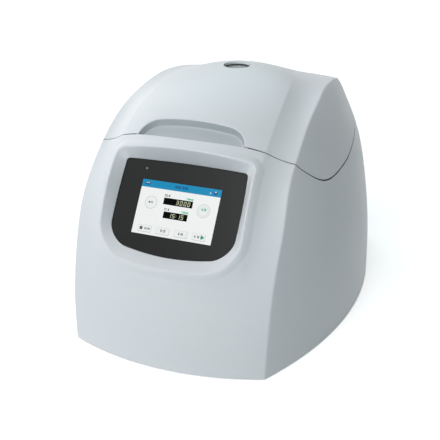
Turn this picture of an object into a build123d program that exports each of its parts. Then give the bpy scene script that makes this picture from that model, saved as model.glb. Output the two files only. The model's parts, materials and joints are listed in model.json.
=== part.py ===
from build123d import *
from math import cos, radians, sin, sqrt, tan
import os

# Low-speed bench centrifuge with a moulded two-part housing, direct drive and fixed-angle rotor
# Millimetres, X to the right seen from the front, Y to the rear, Z up
# Origin on the table under the middle of the housing

# Housing
foot_gap = 3.0
wall = 3.0
fit_gap = 0.4
parting_gap = 1.5
fan_y = 30.0
fan_z = -37.0
crease_x = 140.0
beyond_side = 230.0
fan_core = 25.0
side_axis_x = 324.0
side_axis_y = 25.0
side_lean = 3.5
far = 600.0

# Stations of the front, top and rear skin, as planes that fan out from one cross line under the housing:
# angle, radius at the crease, bow of the crown over the crease,
# hood edge half width, hood edge height over the crease, hollow of the cove (None: on the crown)
stations = [
    (0, 250.0, 29.0, 98, None, None),
    (10, 253.9, 30.0, 98, None, None),
    (24, 268.2, 31.0, 98, None, None),
    (37, 287.8, 33.0, 98, 17.5, -0.6),
    (48, 306.3, 36.0, 98, 18.5, -2.0),
    (56, 319.4, 37.5, 98, 18.0, -3.5),
    (63, 327.2, 36.5, 98, 16.5, -4.5),
    (73, 335.0, 29.5, 95, 14.0, -4.5),
    (84, 339.4, 26.7, 88, 12.6, -4.0),
    (92, 343.8, 24.5, 78, 11.0, -3.0),
    (100, 347.0, 18.0, 64, 8.0, -2.0),
    (110, 349.0, 9.0, 60, None, None),
    (120, 338.0, 5.5, 60, None, None),
    (131, 297.0, 8.0, 60, None, None),
    (143, 254.5, 10.0, 60, None, None),
    (160, 223.1, 12.0, 60, None, None),
    (180, 210.6, 12.0, 60, None, None),
]

# Half width of the housing at its widest section, against height
side_line = [(196, -60), (196, 3), (193, 85), (184, 157), (171, 214), (155.5, 252),
             (142, 281), (128, 303), (110, 324), (88, 346)]

# Parting line between lid and lower housing, seen from the side
parting_line = [(-190, 300), (-153, 279), (-131.3, 265.4), (-122, 252.5), (-106.3, 236.7), (-87.8, 223.6),
                (-60, 216), (-30, 217), (20, 221.5), (58, 227), (110, 234), (150, 242), (180, 254),
                (200, 268), (225, 290), (262, 325)]

# Display panel and its pocket
panel_y = -183.9
panel_z = 193.9
panel_tilt = 34.6
panel_half_width = 84.0
panel_top = 61.2
panel_bottom = -59.3
panel_arch = 2.0
panel_belly = 12.0
panel_side_bow = 2.0
panel_top_corner = 4.0
panel_low_corner = 26.0
glass_thickness = 2.0
glass_gap = 0.3
tub_wall = wall + 1
pocket_depth = 32.0
pocket_side_flare = 44.0
pocket_low_flare = 56.0
pocket_top_flare = 16.0
pocket_corner_flare = 37.0
screen_width = 107.6
screen_height = 70.0
screen_body_width = 114.0
screen_body_height = 76.0
screen_depth = 6.0
screen_gap = 0.15
display_board_thickness = 1.6
display_room = 14.0
sensor_x = -52.0
sensor_v = 49.0
sensor_diameter = 3.0

# Finger recess in the front edge of the lid
recess_y = -136.0
recess_z = 287.0
recess_lean = 23.0
recess_width = 145.0
recess_reach = 16.0
recess_depth = 11.0
recess_corner = 25.0

# Chamber
rotor_y = 30.0
bowl_radius = 128.0
bowl_wall = 1.5
bowl_floor = 98.0
bowl_corner = 18.0
bowl_flange_radius = 140.0
bowl_flange_thickness = 2.0
deck_z = 205.0
deck_thickness = 3.0
guard_gap = 3.5
guard_thickness = 5.0
gasket_height = 4.0
gasket_width = 7.0
plug_radius = 141.0
seal_gap = 0.3

# Drive
base_z = 5.0
base_thickness = 2.0
motor_plate_z = 88.0
motor_plate_thickness = 4.0
motor_plate_radius = 142.0
motor_radius = 52.0
motor_height = 56.0
motor_flange = 132.0
motor_flange_corner = 14.0
motor_flange_thickness = 4.0
damper_height = 8.0
damper_radius = 9.0
damper_spread = 54.0
pillar_radius = 7.0
pillar_spread = 85.0
shaft_radius = 7.0
shaft_gap = 0.5
shaft_hole = 17.0
shaft_rise = 14.0
fin_length = 6.0
fin_width = 4.0
fin_margin = 7.0
motor_edge = 3.0
motor_bearing = 10.0

# Rotor
places = 8
rear_place = 2
place_tilt = 35.0
mouth_radius = 55.0
mouth_z = 178.0
sleeve_radius = 15.0
sleeve_wall = 1.2
sleeve_length = 75.0
sleeve_rim_radius = 17.0
sleeve_rim = 2.0
sleeve_gap = 0.3
rotor_radius = 118.0
rotor_bottom = 104.0
hub_radius = 26.0
hub_top = 160.0
nut_radius = 19.0
nut_height = 20.0
nut_sides = 12
nut_edge = 1.5
lip_radius = 80.0
lip_width = 5.0
web_radius = 58.0
skirt_radius = 68.0
hub_reach = 34.0
block_gap = 0.25
band_top = 132.0
band_thickness = 1.5

# Sight tube in the lid
sight_y = 31.0
sight_radius = 16.75
sight_wall = 2.0
sight_top = 327.5
sight_glass_thickness = 3.0
sight_glass_drop = 1.2

# Rubber buffers between deck and lid
buffer_spots = [(-100, 150), (100, 150)]
buffer_radius = 5.0

# Lid lining
liner_thickness = 3.0
liner_lift = 2.0
liner_front = -122.5
liner_rear = 172.0

# Lid hinge
hinge_y = 200.5
hinge_z = 270.5
hinge_slope = 60.0
hinge_x = 85.0
hinge_width = 44.0
knuckle_radius = 5.0
knuckle_length = 20.0
knuckle_gap = 0.5
pin_radius = 2.0
pin_gap = 0.25
leaf_thickness = 3.0
leaf_reach = 30.0

# Lid lock
lock_y = -130.0
lock_z = 222.0
bolt_radius = 3.0
bolt_gap = 0.4
bolt_length = 42.0
bolt_rest = 3.5
striker_thickness = 3.0
striker_width = 14.0
striker_drop = 12.0
striker_play = 1.5
lock_head = 10.0
lock_reach = 8.0
lock_half = 20.0
solenoid_radius = 8.0
solenoid_length = 28.0

# Rear panel
rear_width = 176.0
rear_height = 72.0
rear_z = 64.0
rear_y = 244.5
rear_thickness = 2.0
rear_gap = 0.3
louvres = 10
first_louvre = -72.0
louvre_pitch = 8.0
louvre_width = 3.4
louvre_height = 44.0
louvre_corner = 1.6
inlet_x = 44.0
switch_x = 74.0
inlet_width = 28.0
inlet_height = 20.0
inlet_depth = 18.0
switch_width = 14.0
switch_height = 24.0
switch_depth = 16.0
pivot_radius = 1.5
pivot_gap = 0.2
pivot_inset = 0.8
rocker_tilt = 8.0

# Boards and power supply on the base plate
board_x = (-90, 90)
board_y = (-190, -110)
board_thickness = 1.6
standoff_height = 8.0
standoff_radius = 3.0
standoff_inset = 6.0
sink_x = (20, 70)
sink_y = (-170, -130)
sink_base = 3.4
sink_height = 22.4
sink_fins = 6
sink_fin_width = 2.0
sink_fin_pitch = 9.0
supply_x = (-125, -15)
supply_y = (182, 228)
supply_height = 42.0
supply_corner = 3.0
supply_slots = 8
supply_slot_start = 10.0
supply_slot_pitch = 12.0
supply_slot_width = 6.0
supply_slot_inset = 4.0
supply_slot_depth = 2.0

# Small fasteners
screw_radius = 2.0
screw_head = 3.6
screw_head_height = 1.6

# Bosses that the base plate is screwed to, and the ledge that carries the deck
boss_radius = 7.0
boss_height = 22.0
boss_spots = [(118, -220), (-118, -220), (145, 224.5), (-145, 224.5), (186, 60), (-186, 60)]
boss_bore_depth = 12.0
thread_depth = 10.0
foot_spots = [(108, -170), (-108, -170), (130, 180), (-130, 180)]
foot_radius = 14.0
foot_edge = 2.0
ledge_width = 7.0
ledge_height = 6.0
ledge_front = -95.0

# Lugs behind the corners of the rear panel
lug_size = 10.0
lug_depth = 8.0

# Heights that other sizes follow from
base_top = base_z + base_thickness
flange_top = deck_z + bowl_flange_thickness
plate_top = motor_plate_z + motor_plate_thickness
lug_x = rear_width / 2 - lug_size / 2
lug_z = rear_height / 2 - lug_size / 2
rear_screw_spots = [(x, rear_z + z) for x in (-lug_x, lug_x) for z in (-lug_z, lug_z)]

parts = {}


def face_of(edges):
    """Flat face inside a closed chain of edges, facing up its plane's Z."""
    face = Face(Wire(edges))
    return face if face.normal_at().Z > 0 else -face


def outline_of(points):
    """Flat face inside a closed list of corner points."""
    return face_of(Polyline(*points, close=True).edges())


def crown_height(x, bow):
    """Height over the crease of the circular crown with this bow, at x."""
    radius = (crease_x**2 + bow**2) / (2 * bow)
    return bow - radius + sqrt(radius**2 - x**2)


def station_face(station, inset):
    """Section of the skin at one station, moved inwards by inset."""
    angle, radius, bow, edge_x, edge_height, hollow = station
    turn = radians(angle)
    plane = Plane(origin=(0, fan_y, fan_z), x_dir=(1, 0, 0), z_dir=(0, -sin(turn), -cos(turn)))
    cove_x = (edge_x + crease_x) / 2
    if edge_height is None:
        edge_height = crown_height(edge_x, bow)
        cove_height = crown_height(cove_x, bow)
    else:
        cove_height = edge_height / 2 + hollow
    low = radius - inset
    top, edge, cove = low + bow, low + edge_height, low + cove_height
    corners = [(crease_x, low), (beyond_side, low), (beyond_side, fan_core),
               (-beyond_side, fan_core), (-beyond_side, low), (-crease_x, low)]
    edges = [
        ThreePointArc((-edge_x, edge), (0, top), (edge_x, edge)),
        ThreePointArc((edge_x, edge), (cove_x, cove), (crease_x, low)),
        *(Line(start, end) for start, end in zip(corners, corners[1:])),
        ThreePointArc((-crease_x, low), (-cove_x, cove), (-edge_x, edge)),
    ]
    return plane * face_of(edges)


def slab(bottom, top, front=-far, rear=far):
    """Block across the whole width between two heights, and between two depths if given."""
    block = Box(2 * far, rear - front, top - bottom)
    return Pos(0, (front + rear) / 2, (bottom + top) / 2) * block


def envelope(inset, bottom=foot_gap):
    """Outer form of the closed housing, moved inwards by inset, standing on the plane at bottom."""
    skin = loft([station_face(station, inset) for station in stations])
    line = [(side_axis_x + x - inset, z) for x, z in side_line]
    back = Polyline(line[-1], (0, line[-1][1]), (0, line[0][1]), line[0])
    flank = face_of([Spline(line), *back.edges()])
    drum = Rot(side_lean, 0, 0) * revolve(Plane.XZ * flank, axis=Axis.Z)
    right = Pos(-side_axis_x, side_axis_y, 0) * drum
    left = Pos(side_axis_x, side_axis_y, 0) * drum
    return skin & right & left & slab(bottom, far)


def lid_side(lift, above=True):
    """Everything above, or below, the parting surface moved up by lift."""
    line = [(y, z + lift) for y, z in parting_line]
    level = far if above else -far
    edge = Polyline(line[-1], (far, line[-1][1]), (far, level), (-far, level), (-far, line[0][1]), line[0])
    face = face_of([Spline(line), *edge.edges()])
    return extrude(Plane.YZ * face, amount=far / 2, both=True)


def turned(profile, y=rotor_y):
    """Solid of revolution about the rotor axis from a closed list of radius and height points."""
    return Pos(0, y, 0) * revolve(Plane.XZ * outline_of(profile), axis=Axis.Z)


def ring(outer, inner, bottom, top, y=rotor_y):
    """Upright ring, or a disc when inner is zero."""
    shape = Circle(outer)
    if inner:
        shape -= Circle(inner)
    return Pos(0, y, bottom) * extrude(shape, top - bottom)


def rod_x(radius, start, end, y, z):
    """Round rod along X."""
    return Pos(start, y, z) * extrude(Plane.YZ * Circle(radius), end - start)


def rod_y(radius, start, end, x, z):
    """Round rod along Y."""
    return extrude(Plane.XZ.offset(-start) * Pos(x, z) * Circle(radius), -(end - start))


def rod_z(radius, bottom, top, x, y):
    """Round rod along Z."""
    return Pos(x, y, bottom) * extrude(Circle(radius), top - bottom)


def block(x, y, z):
    """Block between pairs of limits."""
    size = Box(x[1] - x[0], y[1] - y[0], z[1] - z[0])
    return Pos(sum(x) / 2, sum(y) / 2, sum(z) / 2) * size


def group(solids):
    """Separate identical solids kept in one node."""
    return Compound(children=[solid for item in solids for solid in item.solids()])


# Planes of the display and of the finger recess, with Z pointing out of the housing
tilt = radians(panel_tilt)
panel_plane = Plane(origin=(0, panel_y, panel_z), x_dir=(1, 0, 0), z_dir=(0, -cos(tilt), sin(tilt)))
lean = radians(recess_lean)
recess_plane = Plane(origin=(0, recess_y, recess_z), x_dir=(1, 0, 0), z_dir=(0, -sin(lean), cos(lean)))


def display_outline(widen=0.0, lift=0.0, drop=0.0, corner=panel_low_corner):
    """D-shaped face of the panel, with each side moved out."""
    half = panel_half_width + widen
    shoulder = half - panel_side_bow
    top, low = panel_top + lift, panel_bottom - drop
    high, belly = top - panel_arch, low + panel_belly
    middle = (high + belly) / 2
    face = face_of([
        ThreePointArc((-shoulder, high), (0, top), (shoulder, high)),
        ThreePointArc((shoulder, high), (half, middle), (shoulder, belly)),
        ThreePointArc((shoulder, belly), (0, low), (-shoulder, belly)),
        ThreePointArc((-shoulder, belly), (-half, middle), (-shoulder, high)),
    ])
    face = face.fillet_2d(panel_top_corner, face.vertices().sort_by(Axis.Y)[-2:])
    return face.fillet_2d(corner, face.vertices().sort_by(Axis.Y)[:2])


def display_flare(grow):
    """Flared inside of the display pocket, from the panel up past the skin, grown by grow all round."""
    inner = display_outline(grow, grow, grow, panel_low_corner + grow)
    outer = display_outline(
        grow + pocket_side_flare, grow + pocket_top_flare, grow + pocket_low_flare,
        panel_low_corner + pocket_corner_flare + grow)
    return loft([panel_plane * inner, panel_plane.offset(pocket_depth) * outer], ruled=True)


def recess_prism(grow):
    """Prism of the finger recess through the skin, grown by grow on its sides and its rear."""
    half, top = recess_width / 2 + grow, recess_reach + grow
    face = outline_of([(-half, -60), (half, -60), (half, top), (-half, top)])
    face = face.fillet_2d(recess_corner + grow, face.vertices().sort_by(Axis.Y)[-2:])
    return extrude(recess_plane * face, amount=60, both=True)


outside = envelope(0)
inside = envelope(wall, 0)
lining = envelope(wall + fit_gap, 0)
tub_floor = display_outline(tub_wall, tub_wall, tub_wall, panel_low_corner + tub_wall)
display_tub = display_flare(tub_wall) + extrude(panel_plane * tub_floor, -glass_thickness - wall)


# Lower housing
def make_lower_housing():
    """Front, sides and rear below the parting line, with display pocket, deck ledge and bosses."""
    below = lid_side(-parting_gap / 2, above=False)
    body = outside - inside
    tub = display_tub & outside
    ledge = inside - envelope(wall + ledge_width, 0)
    ledge &= slab(deck_z - deck_thickness - ledge_height, deck_z - deck_thickness, ledge_front, far)
    bosses = [rod_z(boss_radius, base_top, base_top + boss_height, x, y) & outside for x, y in boss_spots]
    frame = block((-rear_width / 2 - wall, rear_width / 2 + wall), (rear_y - 10, far),
                  (rear_z - rear_height / 2 - wall, rear_z + rear_height / 2 + wall)) & outside
    body = body + tub + frame + ledge + bosses
    body &= below
    seat = extrude(panel_plane * display_outline(glass_gap, glass_gap, glass_gap), -glass_thickness)
    window = extrude(panel_plane * Rectangle(screen_body_width + 2 * glass_gap,
                                             screen_body_height + 2 * glass_gap), -30)
    body = body - display_flare(0) - seat - window
    opening = block((-rear_width / 2, rear_width / 2), (rear_y - 20, far),
                    (rear_z - rear_height / 2, rear_z + rear_height / 2))
    body -= opening
    lug_rear = rear_y - rear_thickness
    half = lug_size / 2
    body += [block((x - half, x + half), (lug_rear - lug_depth, lug_rear), (z - half, z + half))
             for x, z in rear_screw_spots]
    for x, y in boss_spots:
        body -= rod_z(screw_radius + 0.1, 0, base_top + boss_bore_depth, x, y)
    for x, z in rear_screw_spots:
        body -= rod_y(screw_radius - 0.5, lug_rear - lug_depth + 1, rear_y, x, z)
    return body


parts["lower_housing"] = make_lower_housing()

# Inner deck with its front riser and ramp up to the front rim
deck_top = [(260, deck_z), (-113, deck_z), (-117, 226), (-124, 248), (-146, 268.5), (-190, 268.5)]
deck_under = [(y - deck_thickness, z - deck_thickness) for y, z in reversed(deck_top)]
lock_slot = (striker_width + 8, striker_thickness + 4)


def make_top_deck():
    """Moulded deck round the chamber mouth, rising in front to carry the lid lock."""
    deck = extrude(Plane.YZ * outline_of(deck_top + deck_under), amount=far / 2, both=True) & lining
    deck -= display_flare(tub_wall + fit_gap)
    deck -= extrude(panel_plane.offset(-display_room) * display_outline(10, 8, 10), display_room)
    deck -= ring(bowl_radius + bowl_wall + 1, 0, deck_z - 20, deck_z + 5)
    deck -= block((-lock_slot[1] / 2, lock_slot[1] / 2), (lock_y - 13, lock_y + 10), (deck_z + 3, 290))
    return deck.solids().sort_by(SortBy.VOLUME)[-1]


parts["top_deck"] = make_top_deck()

# Base plate, screws and feet
base = lining & slab(base_z, base_top)
for x, y in boss_spots:
    base -= rod_z(screw_radius + 0.3, 0, base_top + 1, x, y)
parts["base_plate"] = base
parts["base_screws"] = group(
    [rod_z(screw_head, base_z - screw_head_height, base_z, x, y)
     + rod_z(screw_radius, base_z, base_top + thread_depth, x, y)
     for x, y in boss_spots])
foot_profile = [(0, 0), (foot_radius - foot_edge, 0), (foot_radius, foot_edge / 2),
                (foot_radius, base_z), (0, base_z)]
foot = turned(foot_profile, 0)
parts["feet"] = group([Pos(x, y, 0) * foot for x, y in foot_spots])

# Display: glass with its screen window, touch screen, board and light sensor
glass = extrude(panel_plane * display_outline(), -glass_thickness)
glass -= extrude(panel_plane * Rectangle(screen_width, screen_height), -glass_thickness * 2)
sensor_spot = panel_plane * Pos(sensor_x, sensor_v)
glass -= extrude(sensor_spot * Circle(sensor_diameter / 2 + 0.1), -glass_thickness * 2)
parts["display_glass"] = glass
screen_face = extrude(panel_plane.offset(-screen_gap) * Rectangle(
    screen_width - 2 * screen_gap, screen_height - 2 * screen_gap), screen_gap - glass_thickness)
screen_body = extrude(panel_plane.offset(-glass_thickness) * Rectangle(screen_body_width, screen_body_height),
                      -screen_depth)
parts["touch_screen"] = screen_face + screen_body
parts["display_board"] = extrude(
    panel_plane.offset(-glass_thickness - screen_depth)
    * Rectangle(screen_body_width + 6, screen_body_height - 4), -display_board_thickness)
parts["sensor_lens"] = extrude(sensor_spot * Circle(sensor_diameter / 2), -glass_thickness)

# Chamber bowl, gasket, guard ring and shaft boot
bowl_outer = bowl_radius + bowl_wall


def make_bowl():
    """Spun steel bowl with a rounded floor edge and a rolled-out flange on the deck."""
    cup = ring(bowl_outer, 0, bowl_floor - bowl_wall, flange_top)
    cup = fillet(cup.edges().group_by(Axis.Z)[0], bowl_corner + bowl_wall)
    space = ring(bowl_radius, 0, bowl_floor, flange_top + 1)
    space = fillet(space.edges().group_by(Axis.Z)[0], bowl_corner)
    flange = ring(bowl_flange_radius, bowl_radius, deck_z, flange_top)
    return cup + flange - space - ring(shaft_hole, 0, 0, deck_z)


parts["chamber_bowl"] = make_bowl()
gasket_outer = bowl_flange_radius - 1
parts["chamber_gasket"] = ring(
    gasket_outer, gasket_outer - gasket_width, flange_top, flange_top + gasket_height)
guard_inner = bowl_outer + guard_gap
parts["guard_ring"] = ring(guard_inner + guard_thickness, guard_inner, plate_top, deck_z - deck_thickness)
boot_inner = shaft_radius + 3
parts["shaft_boot"] = turned([
    (boot_inner, plate_top), (shaft_hole + 9, plate_top), (shaft_hole + 9, plate_top + 2),
    (shaft_hole - 1, bowl_floor - 4.5), (shaft_hole - 1, bowl_floor + 2), (boot_inner, bowl_floor + 4)])

# Motor on its rubber mounts below the motor plate
damper_spots = [(x * damper_spread, rotor_y + y * damper_spread) for x in (-1, 1) for y in (-1, 1)]
pillar_spots = [(x * pillar_spread, rotor_y + y * pillar_spread) for x in (-1, 1) for y in (-1, 1)]
plate = ring(motor_plate_radius, motor_radius / 2, motor_plate_z, plate_top)
for x, y in damper_spots + pillar_spots:
    plate -= rod_z(screw_radius + 0.3, motor_plate_z - 1, plate_top + 1, x, y)
parts["motor_plate"] = plate
parts["plate_pillars"] = group([rod_z(pillar_radius, base_top, motor_plate_z, x, y) for x, y in pillar_spots])
flange_z = motor_plate_z - damper_height - motor_flange_thickness
parts["motor_dampers"] = group(
    [rod_z(damper_radius, motor_plate_z - damper_height, motor_plate_z, x, y)
     - rod_z(screw_radius + 0.3, motor_plate_z - damper_height - 1, motor_plate_z + 1, x, y)
     for x, y in damper_spots])


def make_motor():
    """Finned round motor with a square flange and a nose that reaches through the plate."""
    bottom = flange_z - motor_height
    body = ring(motor_radius, 0, bottom, flange_z)
    body = chamfer(body.edges().group_by(Axis.Z)[0], motor_edge)
    for turn in range(0, 360, 30):
        fin = Box(fin_length, fin_width, motor_height - 2 * fin_margin)
        fin = Pos(motor_radius + 1, 0, flange_z - motor_height / 2) * fin
        body += Pos(0, rotor_y, 0) * Rot(0, 0, turn) * fin
    square = RectangleRounded(motor_flange, motor_flange, motor_flange_corner)
    flange = Pos(0, rotor_y, flange_z) * extrude(square, motor_flange_thickness)
    nose = ring(motor_radius / 2 - 2, 0, flange_z, plate_top - 1)
    body = body + flange + nose
    body -= ring(shaft_radius + shaft_gap, 0, bottom + motor_bearing, plate_top + 1)
    for x, y in damper_spots:
        body -= rod_z(screw_radius + 0.3, flange_z - 1, flange_z + motor_flange_thickness + 1, x, y)
    return body


parts["motor_body"] = make_motor()
parts["motor_screws"] = group(
    [rod_z(screw_head, plate_top, plate_top + 2.5, x, y) + rod_z(screw_radius, flange_z - 4, plate_top, x, y)
     for x, y in damper_spots])

# Rotor: hub, tube blocks held by a band, steel sleeves, hub nut and shaft
pitch = radians(place_tilt)


def place_planes():
    """Planes at the sleeve mouths, with Z along each sleeve, out of its mouth."""
    planes = []
    for number in range(places):
        turn = radians(360 * number / places)
        origin = (mouth_radius * cos(turn), rotor_y + mouth_radius * sin(turn), mouth_z)
        direction = (-sin(pitch) * cos(turn), -sin(pitch) * sin(turn), cos(pitch))
        planes.append(Plane(origin=origin, x_dir=(-sin(turn), cos(turn), 0), z_dir=direction))
    return planes


def mouth_height(radius):
    """Height of the cone that the sleeve mouths lie in."""
    return mouth_z + (radius - mouth_radius) * tan(pitch)


shaft_top = hub_top + shaft_rise


rotor_form = turned([
    (shaft_radius, rotor_bottom + 6), (hub_radius, rotor_bottom + 6), (hub_radius + 8, rotor_bottom + 18),
    (web_radius, rotor_bottom + 14), (skirt_radius, rotor_bottom), (rotor_radius - 10, rotor_bottom),
    (rotor_radius, rotor_bottom + 10), (rotor_radius, band_top),
    (lip_radius + lip_width, mouth_height(lip_radius)), (lip_radius, mouth_height(lip_radius)),
    (hub_radius + 2, mouth_height(hub_radius + 2)), (hub_radius, hub_top), (shaft_radius, hub_top)])
hub_form = ring(hub_reach, 0, 0, far)


def make_tube_block():
    """One cast block of the rotor, a sector outside the hub with a blind tilted bore."""
    half = radians(180 / places)
    sector = outline_of([(0, 0), (far * cos(half), -far * sin(half)), (far * cos(half), far * sin(half))])
    sector = Pos(block_gap / sin(half), rotor_y, 0) * extrude(sector, far)
    plane = place_planes()[0]
    bore = extrude(plane.offset(1) * Circle(sleeve_radius + sleeve_gap), -sleeve_length - 1 - sleeve_gap)
    seat = extrude(plane.offset(-sleeve_rim - 0.2) * Circle(sleeve_rim_radius + sleeve_gap), 12)
    return ((rotor_form - hub_form) & sector) - bore - seat


def make_sleeve(plane):
    """Deep-drawn steel sleeve with a rounded end and a rim."""
    tube = extrude(Circle(sleeve_radius), -sleeve_length)
    tube = fillet(tube.edges().group_by(Axis.Z)[0], sleeve_radius * 0.6)
    bore = extrude(Circle(sleeve_radius - sleeve_wall), sleeve_length)
    bore = Pos(0, 0, sleeve_wall - sleeve_length) * bore
    bore = fillet(bore.edges().group_by(Axis.Z)[0], sleeve_radius * 0.5)
    rim = extrude(Circle(sleeve_rim_radius), -sleeve_rim)
    return plane.location * (tube + rim - bore)


tube_block = Pos(0, -rotor_y, 0) * make_tube_block()
parts["rotor_body"] = rotor_form & hub_form
block_copies = [Pos(0, rotor_y, 0) * Rot(0, 0, 360 * number / places) * tube_block for number in range(places)]
parts["tube_block_rear"] = block_copies.pop(rear_place)
parts["tube_blocks"] = group(block_copies)
parts["rotor_band"] = ring(rotor_radius + band_thickness, rotor_radius, rotor_bottom + 10, band_top)
sleeve_copies = [make_sleeve(plane) for plane in place_planes()]
parts["tube_sleeve_rear"] = sleeve_copies.pop(rear_place)
parts["tube_sleeves"] = group(sleeve_copies)
knob = extrude(RegularPolygon(nut_radius, nut_sides), nut_height)
knob = chamfer(knob.edges().group_by(Axis.Z)[-1], nut_edge)
parts["rotor_nut"] = Pos(0, rotor_y, hub_top) * (knob - extrude(Circle(shaft_radius), shaft_rise))
parts["motor_shaft"] = ring(shaft_radius, 0, flange_z - motor_height + motor_bearing + 2, shaft_top)

# Lid lock: housing on the deck riser, solenoid and sliding bolt
riser = deck_under[::-1][1:4]
riser_lean = (riser[2][0] - riser[1][0]) / (riser[2][1] - riser[1][1])
lock_rear = [riser[0], riser[1], (riser[1][0] + lock_head * riser_lean, riser[1][1] + lock_head)]
lock_front = lock_y - lock_reach
lock_outline = [(lock_front, lock_rear[0][1]), *lock_rear, (lock_front, lock_rear[-1][1])]
lock_body = extrude(Plane.YZ * outline_of(lock_outline), amount=lock_half, both=True)
lock_body -= block((-lock_slot[1] / 2, lock_slot[1] / 2), (lock_y - 14, lock_y + 8.6),
                   (lock_z - striker_drop, 250))
lock_body -= rod_x(bolt_radius + bolt_gap, -12, lock_half + 1, lock_y, lock_z)
parts["latch_housing"] = lock_body
coil_end = lock_half + solenoid_length
coil = rod_x(solenoid_radius, lock_half, coil_end, lock_y, lock_z)
coil = chamfer(coil.edges().group_by(Axis.X)[-1], 1)
parts["latch_solenoid"] = coil - rod_x(bolt_radius + bolt_gap, lock_half - 1, coil_end - 4, lock_y, lock_z)
bolt = rod_x(bolt_radius, bolt_rest, bolt_rest + bolt_length - 6, lock_y, lock_z)
parts["lock_bolt"] = chamfer(bolt.edges().group_by(Axis.X)[0], 1)

# Main board, heat sink and power supply on the base plate
board_z = base_top + standoff_height
board_top = board_z + board_thickness
parts["main_board"] = block(board_x, board_y, (board_z, board_top))
standoff_spots = [(x, y) for x in (board_x[0] + standoff_inset, board_x[1] - standoff_inset)
                  for y in (board_y[0] + standoff_inset, board_y[1] - standoff_inset)]
parts["board_standoffs"] = group([
    rod_z(standoff_radius, base_top, board_z, x, y) for x, y in standoff_spots])
sink = block(sink_x, sink_y, (board_top, board_top + sink_base))
for number in range(sink_fins):
    fin_x = sink_x[0] + sink_fin_width + sink_fin_pitch * number
    sink += block((fin_x, fin_x + sink_fin_width), sink_y, (board_top + sink_base, board_top + sink_height))
parts["heat_sink"] = sink
supply_top = base_top + supply_height
supply = block(supply_x, supply_y, (base_top, supply_top))
supply = fillet(supply.edges().filter_by(Axis.Z), supply_corner)
for number in range(supply_slots):
    slot_x = supply_x[0] + supply_slot_start + supply_slot_pitch * number
    supply -= block((slot_x, slot_x + supply_slot_width),
                    (supply_y[0] + supply_slot_inset, supply_y[1] - supply_slot_inset),
                    (supply_top - supply_slot_depth, supply_top + 1))
parts["power_supply"] = supply


# Rear panel with louvres, power inlet and rocker switch
def upright(width, height, start, end, x, z, corner=0.0):
    """Block along Y with a rectangular or rounded section."""
    shape = RectangleRounded(width, height, corner) if corner else Rectangle(width, height)
    return extrude(Plane.XZ.offset(-start) * Pos(x, z) * shape, -(end - start))


panel = upright(
    rear_width - 2 * rear_gap, rear_height - 2 * rear_gap, rear_y - rear_thickness, rear_y, 0, rear_z)
for number in range(louvres):
    louvre_x = first_louvre + louvre_pitch * number
    panel -= upright(louvre_width, louvre_height, rear_y - 9, rear_y + 9, louvre_x, rear_z, louvre_corner)
panel -= upright(inlet_width, inlet_height, rear_y - 9, rear_y + 9, inlet_x, rear_z, 3)
panel -= upright(switch_width, switch_height, rear_y - 9, rear_y + 9, switch_x, rear_z, 1)
for x, z in rear_screw_spots:
    panel -= rod_y(screw_radius, rear_y - 9, rear_y + 9, x, z)
parts["rear_panel"] = panel
parts["rear_panel_screws"] = group(
    [rod_y(screw_head, rear_y, rear_y + 1.8, x, z) + rod_y(screw_radius - 0.6, rear_y - 8, rear_y, x, z)
     for x, z in rear_screw_spots])
inlet = upright(inlet_width - 0.4, inlet_height - 0.4, rear_y - inlet_depth, rear_y, inlet_x, rear_z, 3)
inlet += upright(inlet_width + 8, inlet_height + 5, rear_y, rear_y + 2, inlet_x, rear_z, 3)
inlet -= upright(inlet_width - 4, inlet_height - 4, rear_y - inlet_depth + 3, rear_y + 9, inlet_x, rear_z, 3)
for x, z in ((-7, 1.5), (7, 1.5), (0, -3.5)):
    inlet += upright(2, 4, rear_y - inlet_depth + 2, rear_y - 3, inlet_x + x, rear_z + z)
parts["power_inlet"] = inlet
frame = upright(switch_width - 0.4, switch_height - 0.4, rear_y - switch_depth, rear_y, switch_x, rear_z, 1)
frame += upright(switch_width + 4, switch_height + 4, rear_y, rear_y + 2, switch_x, rear_z, 1.5)
frame -= upright(
    switch_width - 3.4, switch_height - 3.4, rear_y - switch_depth + 2, rear_y + 9, switch_x, rear_z)
pivot_half = switch_width / 2 - pivot_inset
frame -= rod_x(pivot_radius + pivot_gap, switch_x - pivot_half - pivot_gap, switch_x + pivot_half + pivot_gap,
               rear_y, rear_z)
parts["switch_frame"] = frame


def make_rocker():
    """Rocker with two sloping halves, resting in its off position."""
    half, depth = switch_height / 2 - 2.6, 9.0
    rise = half * tan(radians(rocker_tilt))
    points = [(-half, 3 + rise), (0, 3), (half, 3 + rise), (half * 0.7, -2),
              (2, -depth + 3), (-2, -depth + 3), (-half * 0.7, -2)]
    plane = Plane(origin=(0, 0, 0), x_dir=(0, 0, 1), z_dir=(1, 0, 0))
    width = switch_width - 4.4
    flat = extrude(plane * outline_of(points), amount=width / 2, both=True)
    rocker = Pos(switch_x, rear_y, rear_z) * Rot(rocker_tilt, 0, 0) * Rot(0, 0, 180) * flat
    return rocker + rod_x(pivot_radius, switch_x - pivot_half, switch_x + pivot_half, rear_y, rear_z)


parts["power_rocker"] = make_rocker()


# Lid hinge: fixed brackets, pins and lid leaves at the rear shoulder
slope = radians(hinge_slope)
hinge_plane = Plane(origin=(0, hinge_y, hinge_z), x_dir=(0, cos(slope), -sin(slope)), z_dir=(1, 0, 0))


def hinge_part(knuckles, direction, limits):
    """Leaf that follows the housing, with ears up to its knuckles, for one side of the hinge."""
    strap = leaf_skin & (Pos(hinge_x, 0, 0) * limits)
    ears = []
    for start, end in knuckles:
        web = [(0, knuckle_radius), (direction * 18, -2), (direction * 18, -16), (0, -16)]
        ear = extrude(hinge_plane * outline_of(web), end - start)
        knuckle = extrude(hinge_plane * Circle(knuckle_radius), end - start)
        ears.append(Pos(hinge_x + start, 0, 0) * (ear + knuckle))
    return strap, ears


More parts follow.
